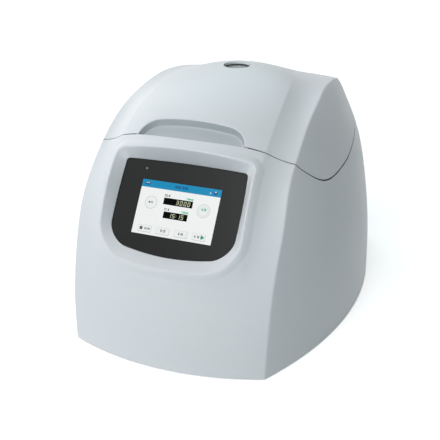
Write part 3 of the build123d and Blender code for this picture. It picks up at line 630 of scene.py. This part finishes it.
HOUSING = (0.82, 0.835, 0.865)
mat = {
    # Darker grey for the finger recess: painted shade of the recess
    "recess": grained("RecessPaintedShade", (0.52, 0.555, 0.58), 0.45, scale=900.0, contrast=0.03, bump=0.2),
    "housing": grained("HousingPlastic", HOUSING, 0.35, scale=520.0, contrast=0.012, bump=0.05,
                       distance=0.00012, spread=0.04, gloss=0.28),
    "deck_plastic": grained("DeckPlastic", (0.70, 0.72, 0.735), 0.5, scale=1400.0, contrast=0.03, bump=0.2),
    "plate_steel": grained("ZincPlate", (0.60, 0.61, 0.62), 0.38, 1.0, scale=160.0, contrast=0.12, bump=0.05),
    "rear_paint": grained("RearPaint", (0.60, 0.62, 0.63), 0.55, scale=1600.0, contrast=0.05, bump=0.35),
    "fastener": grained("Fastener", (0.55, 0.55, 0.56), 0.3, 1.0, scale=700.0, contrast=0.08),
    "foot_rubber": grained("FootRubber", (0.03, 0.03, 0.032), 0.75, scale=1500.0, contrast=0.2, bump=0.3),
    "seal_rubber": grained("SealRubber", (0.07, 0.07, 0.075), 0.6, scale=1500.0, contrast=0.15, bump=0.2),
    # Near-black for the strip behind the parting gap: painted shade of the gap
    "seam_dark": grained("SeamPaintedShade", (0.012, 0.012, 0.013), 0.6, scale=1500.0, contrast=0.15, bump=0.2,
                         gloss=0.08),
    "panel_black": grained("PanelBlack", (0.005, 0.006, 0.0055), 0.3, scale=2200.0, contrast=0.12, bump=0.03,
                           spread=0.03, gloss=0.17),
    "board": grained("Board", (0.02, 0.16, 0.07), 0.4, scale=600.0, contrast=0.15),
    "lens": grained("SensorLens", (0.19, 0.135, 0.125), 0.25, scale=800.0, contrast=0.1, spread=0.02),
    "guard_steel": grained("GuardPrimer", (0.12, 0.125, 0.13), 0.5, scale=500.0, contrast=0.1, bump=0.2),
    "motor_paint": grained("MotorEnamel", (0.03, 0.03, 0.033), 0.4, scale=900.0, contrast=0.15, bump=0.2),
    "black_plastic": grained("BlackPlastic", (0.022, 0.022, 0.024), 0.42, scale=1500.0, contrast=0.2,
                             bump=0.2),
    "rocker_plastic": grained("RockerPlastic", (0.02, 0.02, 0.022), 0.22, scale=1200.0, contrast=0.1),
    "supply_case": grained("SupplyCase", (0.66, 0.67, 0.68), 0.35, 1.0, scale=90.0, contrast=0.05,
                           stretch=(1, 12, 1)),
    "hinge_metal": grained("HingePaint", (0.70, 0.725, 0.745), 0.42, scale=1300.0, contrast=0.03, bump=0.25),
    "pin_steel": grained("GroundSteel", (0.70, 0.70, 0.70), 0.2, 1.0, scale=400.0, contrast=0.05,
                         stretch=(14, 1, 1)),
    "nut_black": grained("BlackAnodised", (0.05, 0.05, 0.055), 0.35, 0.6, scale=1500.0, contrast=0.15),
}


def turned_metal(name, colour, roughness):
    """Metal with fine rings round the rotor's axis."""
    made, tree, shader = material(name, colour, roughness, 1.0)
    nodes, links = tree.nodes, tree.links
    place = nodes.new("ShaderNodeTexCoord")
    mapping = nodes.new("ShaderNodeMapping")
    mapping.inputs["Location"].default_value = (0.0, -0.030, 0.0)
    rings = nodes.new("ShaderNodeTexWave")
    rings.wave_type = "RINGS"
    rings.rings_direction = "Z"
    rings.inputs["Scale"].default_value = 420.0
    rings.inputs["Distortion"].default_value = 1.2
    rings.inputs["Detail"].default_value = 3.0
    links.new(place.outputs["Object"], mapping.inputs["Vector"])
    links.new(mapping.outputs["Vector"], rings.inputs["Vector"])
    mix = nodes.new("ShaderNodeMix")
    mix.data_type = "RGBA"
    mix.inputs["A"].default_value = (*[c * 0.93 for c in colour], 1)
    mix.inputs["B"].default_value = (*[min(1, c * 1.05) for c in colour], 1)
    links.new(rings.outputs["Fac"], mix.inputs["Factor"])
    links.new(mix.outputs["Result"], shader.inputs["Base Color"])
    relief = nodes.new("ShaderNodeBump")
    relief.inputs["Strength"].default_value = 0.08
    relief.inputs["Distance"].default_value = 0.0001
    links.new(rings.outputs["Fac"], relief.inputs["Height"])
    links.new(relief.outputs["Normal"], shader.inputs["Normal"])
    span = nodes.new("ShaderNodeMapRange")
    span.inputs["To Min"].default_value = roughness - 0.06
    span.inputs["To Max"].default_value = roughness + 0.06
    links.new(rings.outputs["Fac"], span.inputs["Value"])
    links.new(span.outputs["Result"], shader.inputs["Roughness"])
    return made


mat["bowl_steel"] = turned_metal("BowlSteel", (0.62, 0.62, 0.62), 0.26)
mat["rotor_alloy"] = turned_metal("RotorAlloy", (0.66, 0.67, 0.68), 0.3)


def clear(name, colour, roughness):
    """Glass that is a little milky, so that it shows over the dark chamber."""
    made, tree, shader = material(name, colour, roughness)
    shader.inputs["Transmission Weight"].default_value = 0.6
    shader.inputs["IOR"].default_value = 1.5
    grain(tree, shader, colour, 300.0, 0.02, 0.01, 0.0001, (roughness, roughness + 0.03))
    return made


mat["sight_clear"] = clear("SightGlass", (0.66, 0.72, 0.72), 0.05)
mat["screen"] = grained("ScreenEdge", (0.05, 0.05, 0.055), 0.3, scale=900.0, contrast=0.1)

# Carried-over CAD nodes get their materials
slot_of = {part["node"]: part["material_slot"] for part in frame["record"]["subparts"]}
for name, node in frame["nodes"].items():
    node.data.materials.clear()
    node.data.materials.append(mat[slot_of[name]])

# Housing and lid
grid = outer_grid()
rows, columns = grid.shape[:2]
points = grid.reshape(-1, 3)
faces = grid_faces(rows, columns)


def on_floor(q):
    return q[:, 2] - FOOT_GAP


points, faces = split(points, faces, on_floor, keep=1, snap=SNAP)
points, faces = compact(points, faces)

# Lid: above the parting line
lid_points, lid_faces = split(points, faces, lambda q: above_parting(q) - PARTING_GAP / 2, keep=1, snap=SNAP)
lid_points, lid_faces = compact(lid_points, lid_faces)
for inside, _ in RECESS_PROFILE:
    lid_points, lid_faces = split(
        lid_points, lid_faces,
        lambda q: np.where(q[:, 1] < RECESS_SIDE, -recess_distance(q) - inside, -NOWHERE))
lid_points, lid_faces = split(
    lid_points, lid_faces,
    lambda q: np.where(q[:, 2] > SIGHT_LOW, np.hypot(q[:, 0], q[:, 1] - SIGHT_Y) - SIGHT_HOLE, NOWHERE),
    keep=1, snap=SNAP)
lid_points = form_recess(lid_points)
lid = shell("LidShell", lid_points, lid_faces, WALL)
lid.data.materials.append(mat["housing"])
lid.data.materials.append(mat["recess"])
# Faces inside the recess get the darker grey that paints its shade
for polygon in lid.data.polygons:
    middle = np.array(polygon.center)[None, :] / MM
    if middle[0, 1] < RECESS_SIDE and -recess_distance(middle)[0] > RECESS_SHADE_INSET:
        polygon.material_index = 1
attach(lid, "lid")
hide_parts("lid_shell")

# Near-black strip just inside the parting gap, painted shade of the gap: how deep, and how far below and
# above the line
GAP_SHADE_DEPTH, GAP_SHADE_LOW, GAP_SHADE_HIGH = 0.6, 1.8, 0.8
GAP_SHADE_THICKNESS = 0.8
GAP_SHADE_CLEAR = 4.0


def grid_normals(table):
    """Outward normal at every point of the skin's grid."""
    down = np.gradient(table, axis=0)
    across = np.gradient(table, axis=1)
    normal = np.cross(down, across)
    size = np.maximum(np.linalg.norm(normal, axis=2, keepdims=True), 1e-9)
    normal = normal / size
    middle = np.array([0.0, FAN_Y, 120.0])
    return normal * np.sign(np.sum(normal * (table - middle), 2, keepdims=True))


# Near-black strip that follows the skin behind the parting gap and paints the gap's shade, kept clear of the
# finger recess
gap_shade_points = (grid - GAP_SHADE_DEPTH * grid_normals(grid)).reshape(-1, 3)
gap_shade_points, gap_shade_faces = split(gap_shade_points, grid_faces(rows, columns), on_floor, keep=1)
gap_shade_points, gap_shade_faces = split(gap_shade_points, gap_shade_faces, lambda q: GAP_SHADE_HIGH - above_parting(q), keep=1)
gap_shade_points, gap_shade_faces = split(gap_shade_points, gap_shade_faces, lambda q: GAP_SHADE_LOW + above_parting(q), keep=1)
gap_shade_points, gap_shade_faces = split(
    gap_shade_points, gap_shade_faces,
    lambda q: np.where(q[:, 1] < RECESS_SIDE, recess_distance(q) - GAP_SHADE_CLEAR, NOWHERE), keep=1)
gap_shade = shell("PartingGapShade", gap_shade_points, gap_shade_faces, GAP_SHADE_THICKNESS)
gap_shade.data.materials.append(mat["seam_dark"])
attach(gap_shade, "root")

# Lower housing: below the parting line, with the display pocket
low_points, low_faces = split(points, faces, lambda q: -above_parting(q) - PARTING_GAP / 2, keep=1, snap=SNAP)
low_points, low_faces = compact(low_points, low_faces)
rim_line = rim_heights(low_points, low_faces)
low_points, low_faces = split(low_points, low_faces, lambda q: rim_field(q, LIP_WIDTH), keep=1, snap=SNAP)


def rear_field(q):
    """Positive outside the rectangular opening of the rear panel."""
    outside = np.maximum(np.abs(q[:, 0]) - REAR_HALF, np.abs(q[:, 2] - REAR_MIDDLE) - REAR_RISE)
    return np.where(q[:, 1] > REAR_SIDE, outside, NOWHERE)


low_points, low_faces = split(low_points, low_faces, rear_field, keep=1, snap=SNAP)
low_points, low_faces = compact(form_front(low_points), low_faces)
low_points, low_faces = add_pocket(low_points, low_faces, rim_line)
low = shell("LowerHousing", low_points, low_faces, WALL, sharp=20.0)
low.data.materials.append(mat["housing"])
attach(low, "root")
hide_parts("lower_housing")


# Page shown on the display: layers that lie on each other, with places from the middle of the screen
SCREEN_FACE = -0.15
SCREEN_EDGE = 0.15
LAYER = 0.03


def on_panel(u, v, w):
    """Point along, up and out of the display panel."""
    return PANEL_SPOT + u * PANEL_U + v * PANEL_V + w * PANEL_N


def lit(name, colour, glow=0.5, roughness=0.22, gloss=0.12):
    """Colour of the lit display: partly its own light, partly the glossy cover."""
    made, tree, shader = material(name, [c * (1 - glow) for c in colour], roughness)
    shader.inputs["Specular IOR Level"].default_value = gloss
    grain(tree, shader, [c * (1 - glow) for c in colour], 2600.0, 0.03, 0.01, 0.00005,
          (roughness - 0.03, roughness + 0.03))
    shader.inputs["Emission Color"].default_value = (*colour, 1)
    shader.inputs["Emission Strength"].default_value = glow
    return made


def rounded_outline(low_u, high_u, low_v, high_v, corner, steps=6):
    """Rectangle with rounded corners."""
    out = []
    for cu, cv, start in ((high_u - corner, high_v - corner, 0), (low_u + corner, high_v - corner, 90),
                          (low_u + corner, low_v + corner, 180), (high_u - corner, low_v + corner, 270)):
        for k in range(steps + 1):
            turn = math.radians(start + 90 * k / steps)
            out.append((cu + corner * math.cos(turn), cv + corner * math.sin(turn)))
    return out


def circle_outline(u, v, radius, steps=40):
    """Circle as a polygon."""
    return [(u + radius * math.cos(2 * math.pi * k / steps), v + radius * math.sin(2 * math.pi * k / steps))
            for k in range(steps)]


def bar(u0, v0, u1, v1):
    """Rectangle between two corners."""
    return [(u0, v0), (u1, v0), (u1, v1), (u0, v1)]


def bars(places, width, height):
    """Equal bars from their low left corners."""
    return [bar(u, v, u + width, v + height) for u, v in places]


SEGMENTS = {"0": "abcdef", "1": "bc", "2": "abged", "3": "abgcd", "4": "fgbc", "5": "afgcd",
            "6": "afgedc", "7": "abc", "8": "abcdefg", "9": "abcdfg"}


def digit(figure, u, v, width, height, stroke):
    """Plain seven-segment figure with its low left corner at u, v."""
    half = height / 2
    spots = {"a": (0, height - stroke, width, height), "b": (width - stroke, half, width, height),
             "c": (width - stroke, 0, width, half), "d": (0, 0, width, stroke),
             "e": (0, 0, stroke, half), "f": (0, half, stroke, height),
             "g": (0, half - stroke / 2, width, half + stroke / 2)}
    slant = 0.08
    out = []
    for name in SEGMENTS[figure]:
        u0, v0, u1, v1 = spots[name]
        out.append([(u + a + slant * b, v + b) for a, b in bar(u0, v0, u1, v1)])
    return out


def number_plate(text, right, low, width, height, stroke, gap):
    """Figures that end at the right edge."""
    out = []
    at = right
    for figure in reversed(text):
        if figure == ":":
            at -= gap + stroke
            for v in (low + height * 0.25, low + height * 0.65):
                out.append(bar(at, v, at + stroke, v + stroke))
        else:
            at -= gap + width
            out.extend(digit(figure, at, low, width, height, stroke))
    return out


def page_layer(name, outlines, number, shade, thickness=0.02):
    """Thin printed layer of the page: flat shapes a hair over the layer below."""
    level = number * LAYER
    points, faces = [], []
    for outline in outlines:
        start = len(points)
        n = len(outline)
        for w in (SCREEN_FACE + level, SCREEN_FACE + level + thickness):
            points.extend(on_panel(u, v, w) for u, v in outline)
        faces.append(tuple(range(start + n, start + 2 * n)))
        for k in range(n):
            m = (k + 1) % n
            faces.append((start + k, start + m, start + n + m, start + n + k))
    obj = new_mesh(name, points, faces, sharp=20.0)
    obj.data.materials.append(shade)
    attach(obj, "root")


white = lit("PageWhite", (0.92, 0.925, 0.92), glow=0.65)
blue = lit("PageBlue", (0.008, 0.27, 0.51))
deep = lit("PageDeepBlue", (0.006, 0.10, 0.26), glow=0.3)
black = lit("PageBlack", (0.002, 0.002, 0.002), glow=0.2, gloss=0.02)
figure_light = lit("PageFigures", (0.80, 0.84, 0.55), glow=0.7)
grey_line = lit("PageLine", (0.62, 0.64, 0.64))
pale = lit("PageButton", (0.90, 0.905, 0.90), glow=0.6)
ink = lit("PageInk", (0.10, 0.10, 0.10), glow=0.3)
green = lit("PageGreen", (0.02, 0.36, 0.20))
mint = lit("PageMint", (0.66, 0.86, 0.76))

# Ground and header
HALF_W, HALF_H = SCREEN_W / 2 - SCREEN_EDGE, SCREEN_H / 2 - SCREEN_EDGE
HEADER_LOW, HEADER_SIGN_LOW = 25.2, 28.4
HEADER_SIGNS = (-8.0, -5.2, -2.4, 1.6, 4.4, 7.2)
page_layer("PageGround", [bar(-HALF_W, -HALF_H, HALF_W, HALF_H)], 0, white)
page_layer("PageHeader", [bar(-HALF_W, HEADER_LOW, HALF_W, HALF_H)], 1, blue)
page_layer("PageHeaderMarks",
           [circle_outline(46.2, 29.8, 2.6), rounded_outline(-49.5, -42.0, 28.4, 31.8, 1.2),
            *bars([(u, HEADER_SIGN_LOW) for u in HEADER_SIGNS], 1.9, 3.6)], 2, deep)
page_layer("PageHeaderSpots",
           [circle_outline(46.2, 31.0, 0.9), circle_outline(39.5, 29.0, 0.8),
            *bars([(-48.2, 30.4), (-45.4, 30.4)], 2.0, 0.8)], 3, white)

# Round buttons on the left and the right
ROUND_BUTTONS = ((-36.0, 6.4, 8.3), (35.5, 5.5, 8.6))
RING_LINE = 0.7
INNER_RING = (35.5, 5.2)
page_layer("PageRingLines", [circle_outline(u, v, r) for u, v, r in ROUND_BUTTONS], 1, grey_line)
page_layer("PageRingFaces", [circle_outline(u, v, r - RING_LINE) for u, v, r in ROUND_BUTTONS], 2, pale)
page_layer("PageRightRingInner", [circle_outline(*INNER_RING, 6.2)], 3, grey_line)
page_layer("PageRightRingFace", [circle_outline(*INNER_RING, 5.8)], 4, pale)
page_layer("PageRightRingMint", [rounded_outline(31.6, 39.4, 5.0, 9.6, 1.6)], 5, mint)
page_layer("PageRightRingMark",
           [bar(32.6, 6.6, 34.6, 7.3), bar(33.3, 5.9, 34.0, 8.0), bar(36.2, 7.0, 38.3, 7.6),
            *bars([(36.2, 5.8), (37.6, 5.8)], 0.7, 3.0)], 6, green)
page_layer("PageLeftRingMark",
           [circle_outline(-38.2, 6.6, 1.25), bar(-35.9, 5.6, -35.2, 7.8), bar(-34.6, 5.2, -33.9, 7.2),
            bar(-35.9, 7.2, -33.9, 7.8)], 3, ink)

# Readouts of speed and time with their labels and units
page_layer("PageReadouts", [rounded_outline(-19.7, 19.7, 6.4, 15.0, 0.4),
                            rounded_outline(-16.2, 16.4, -10.9, -2.4, 0.4)], 1, black)
FIGURE = {"width": 3.1, "height": 5.4, "stroke": 0.55}
page_layer("PageSpeed", number_plate("3000", right=18.0, low=7.9, gap=2.0, **FIGURE), 2, figure_light)
page_layer("PageTime", number_plate("15:15", right=12.6, low=-9.4, gap=1.7, **FIGURE), 2, figure_light)
# Low left corner, width and height of each stroke
LABEL_STROKES = ((-19.4, 16.6, 1.0, 3.0), (-17.9, 16.6, 2.2, 0.7), (-17.9, 18.0, 2.2, 0.7),
                 (-17.2, 16.6, 0.7, 3.0), (-14.6, 16.6, 2.4, 0.7), (-14.6, 18.0, 2.4, 0.8),
                 (-13.7, 16.6, 0.7, 3.0), (-16.2, -0.9, 0.9, 3.0), (-14.7, -0.9, 2.0, 0.7),
                 (-14.7, 1.2, 2.0, 0.7), (-11.6, -0.9, 2.0, 0.7), (-11.6, 0.5, 2.0, 0.7),
                 (-10.9, -0.9, 0.7, 3.0))
page_layer("PageLabels", [bar(u, v, u + du, v + dv) for u, v, du, dv in LABEL_STROKES], 1, ink)
page_layer("PageUnitGround", [rounded_outline(9.0, 20.4, 15.6, 18.8, 0.8),
                              rounded_outline(6.2, 16.8, -1.8, 1.4, 0.8)], 1, mint)
page_layer("PageUnits", bars([(12.0 + 1.8 * k, 16.3) for k in range(4)]
                             + [(9.2 + 1.8 * k, -1.1) for k in range(4)], 1.1, 1.7), 2, green)

# Row of buttons along the bottom
BUTTONS = ((-45.6, -27.6), (-20.8, -3.2), (3.6, 21.2), (28.0, 45.4))
page_layer("PageButtonLines", [rounded_outline(a, b, -32.0, -23.0, 1.0) for a, b in BUTTONS], 1, grey_line)
page_layer("PageButtonFaces", [rounded_outline(a + 0.3, b - 0.6, -31.3, -23.3, 0.9) for a, b in BUTTONS],
           2, pale)
# Left ends of equal strokes, with their low edge, width and height
BUTTON_STROKES = [
    ((-36.8, -34.9, -32.6, -30.8), -28.7, 0.8, 2.8), ((-37.2, -32.8), -27.7, 1.9, 0.8),
    ((-15.0, -13.3, -10.9, -9.2), -28.9, 0.8, 3.2), ((-15.2, -11.0), -26.5, 2.2, 0.8),
    ((9.6, 12.6, 14.4), -28.9, 0.8, 3.2), ((8.8, 12.6), -28.0, 2.4, 0.8),
    ((31.0, 34.6, 36.2), -28.9, 0.8, 3.2), ((30.4, 34.6), -27.6, 2.2, 0.8),
]
button_marks = [rounded_outline(-43.6, -39.8, -29.2, -25.4, 0.5)]
for starts, low_edge, width, height in BUTTON_STROKES:
    button_marks += bars([(u, low_edge) for u in starts], width, height)
page_layer("PageButtonMarks", button_marks, 3, ink)
page_layer("PageStart", [[(39.0, -29.4), (39.0, -25.0), (39.9, -24.6), (43.4, -26.6), (43.4, -27.8),
                          (39.9, -29.8)]], 3, green)


# Camera, light and backdrop
def add_camera():
    """Camera at the photograph's angle."""
    data = bpy.data.cameras.new("View")
    data.lens = CAMERA_LENS
    data.sensor_width = 36.0
    data.clip_start, data.clip_end = 0.05, 20.0
    camera = bpy.data.objects.new("View", data)
    bpy.context.scene.collection.objects.link(camera)
    camera.location = CAMERA_SPOT
    camera.rotation_euler = (math.radians(90.0 - CAMERA_DOWN), 0.0, math.radians(CAMERA_AZIMUTH))
    bpy.context.scene.camera = camera


LAMP_AIM = (0.0, 0.0, 0.15)
WORLD_COLOUR, WORLD_STRENGTH = (0.82, 0.97, 1.0, 1), 0.02
# Floor: half its length, and its glow, which grows to white from the near to the far distance
FLOOR_REACH = 6.0
FLOOR_GLOW, GLOW_NEAR, GLOW_FAR = 0.62, 0.6, 2.4


def add_lamp(name, spot, size, power, colour):
    """Square soft box that faces the middle of the object."""
    data = bpy.data.lights.new(name, "AREA")
    data.shape = "SQUARE"
    data.size = size
    data.energy = power
    data.color = colour
    lamp = bpy.data.objects.new(name, data)
    bpy.context.scene.collection.objects.link(lamp)
    lamp.location = spot
    direction = Vector(LAMP_AIM) - Vector(spot)
    lamp.rotation_euler = direction.to_track_quat("-Z", "Y").to_euler()


def backdrop_switch(tree, shown, plain):
    """White for camera, mirror and glass rays, the plain shader for light on the object."""
    nodes, links = tree.nodes, tree.links
    path = nodes.new("ShaderNodeLightPath")
    most = nodes.new("ShaderNodeMath")
    most.operation = "MAXIMUM"
    most_all = nodes.new("ShaderNodeMath")
    most_all.operation = "MAXIMUM"
    links.new(path.outputs["Is Camera Ray"], most.inputs[0])
    links.new(path.outputs["Is Glossy Ray"], most.inputs[1])
    links.new(most.outputs[0], most_all.inputs[0])
    links.new(path.outputs["Is Transmission Ray"], most_all.inputs[1])
    mix = nodes.new("ShaderNodeMixShader")
    links.new(most_all.outputs[0], mix.inputs["Fac"])
    links.new(plain, mix.inputs[1])
    links.new(shown, mix.inputs[2])
    return mix.outputs[0]


def add_world():
    """White surroundings that give only a little light."""
    world = bpy.data.worlds.new("Studio")
    bpy.context.scene.world = world
    world.use_nodes = True
    tree = world.node_tree
    tree.nodes.clear()
    soft = tree.nodes.new("ShaderNodeBackground")
    soft.inputs["Color"].default_value = WORLD_COLOUR
    soft.inputs["Strength"].default_value = WORLD_STRENGTH
    white = tree.nodes.new("ShaderNodeBackground")
    white.inputs["Color"].default_value = (1, 1, 1, 1)
    white.inputs["Strength"].default_value = 1.0
    out = tree.nodes.new("ShaderNodeOutputWorld")
    tree.links.new(backdrop_switch(tree, white.outputs[0], soft.outputs[0]), out.inputs["Surface"])


def add_floor():
    """White paper that keeps the object's shadow."""
    mesh = bpy.data.meshes.new("Floor")
    r = FLOOR_REACH
    mesh.from_pydata([(-r, -r, 0), (r, -r, 0), (r, r, 0), (-r, r, 0)], [], [(0, 1, 2, 3)])
    floor = bpy.data.objects.new("Floor", mesh)
    bpy.context.scene.collection.objects.link(floor)
    made, tree, shader = material("FloorPaper", (0.9, 0.9, 0.9), 0.9)
    shader.inputs["Specular IOR Level"].default_value = 0.0
    glow = tree.nodes.new("ShaderNodeEmission")
    place = tree.nodes.new("ShaderNodeTexCoord")
    away = tree.nodes.new("ShaderNodeVectorMath")
    away.operation = "LENGTH"
    tree.links.new(place.outputs["Object"], away.inputs[0])
    fade = tree.nodes.new("ShaderNodeMapRange")
    fade.inputs["From Min"].default_value = GLOW_NEAR
    fade.inputs["From Max"].default_value = GLOW_FAR
    fade.inputs["To Min"].default_value = FLOOR_GLOW
    fade.inputs["To Max"].default_value = 1.0
    tree.links.new(away.outputs["Value"], fade.inputs["Value"])
    tree.links.new(fade.outputs["Result"], glow.inputs["Strength"])
    add = tree.nodes.new("ShaderNodeAddShader")
    tree.links.new(shader.outputs[0], add.inputs[0])
    tree.links.new(glow.outputs[0], add.inputs[1])
    out = tree.nodes["Material Output"]
    tree.links.new(backdrop_switch(tree, add.outputs[0], shader.outputs[0]), out.inputs["Surface"])
    mesh.materials.append(made)


# name, place, size, power and colour
LAMPS = [
    ("Key", (0.0, -1.7, 2.1), 1.6, 33.0, (1.0, 1.0, 1.0)),
    ("LeftFront", (-2.0, -1.5, 1.5), 1.4, 13.0, (1.0, 1.0, 1.0)),
    ("Left", (-2.4, 0.0, 1.0), 1.4, 9.0, (0.8, 0.95, 1.0)),
    ("LeftBack", (-1.9, 1.2, 1.2), 1.4, 7.5, (1.0, 1.0, 1.0)),
    ("TopBack", (-0.6, 1.4, 2.0), 1.6, 11.5, (0.75, 0.97, 1.0)),
    ("RightFront", (1.1, -2.3, 1.2), 1.4, 5.5, (0.5, 0.95, 1.0)),
]
add_camera()
add_world()
add_floor()
for lamp in LAMPS:
    add_lamp(*lamp)

scene = bpy.context.scene
scene.view_settings.view_transform = "Standard"
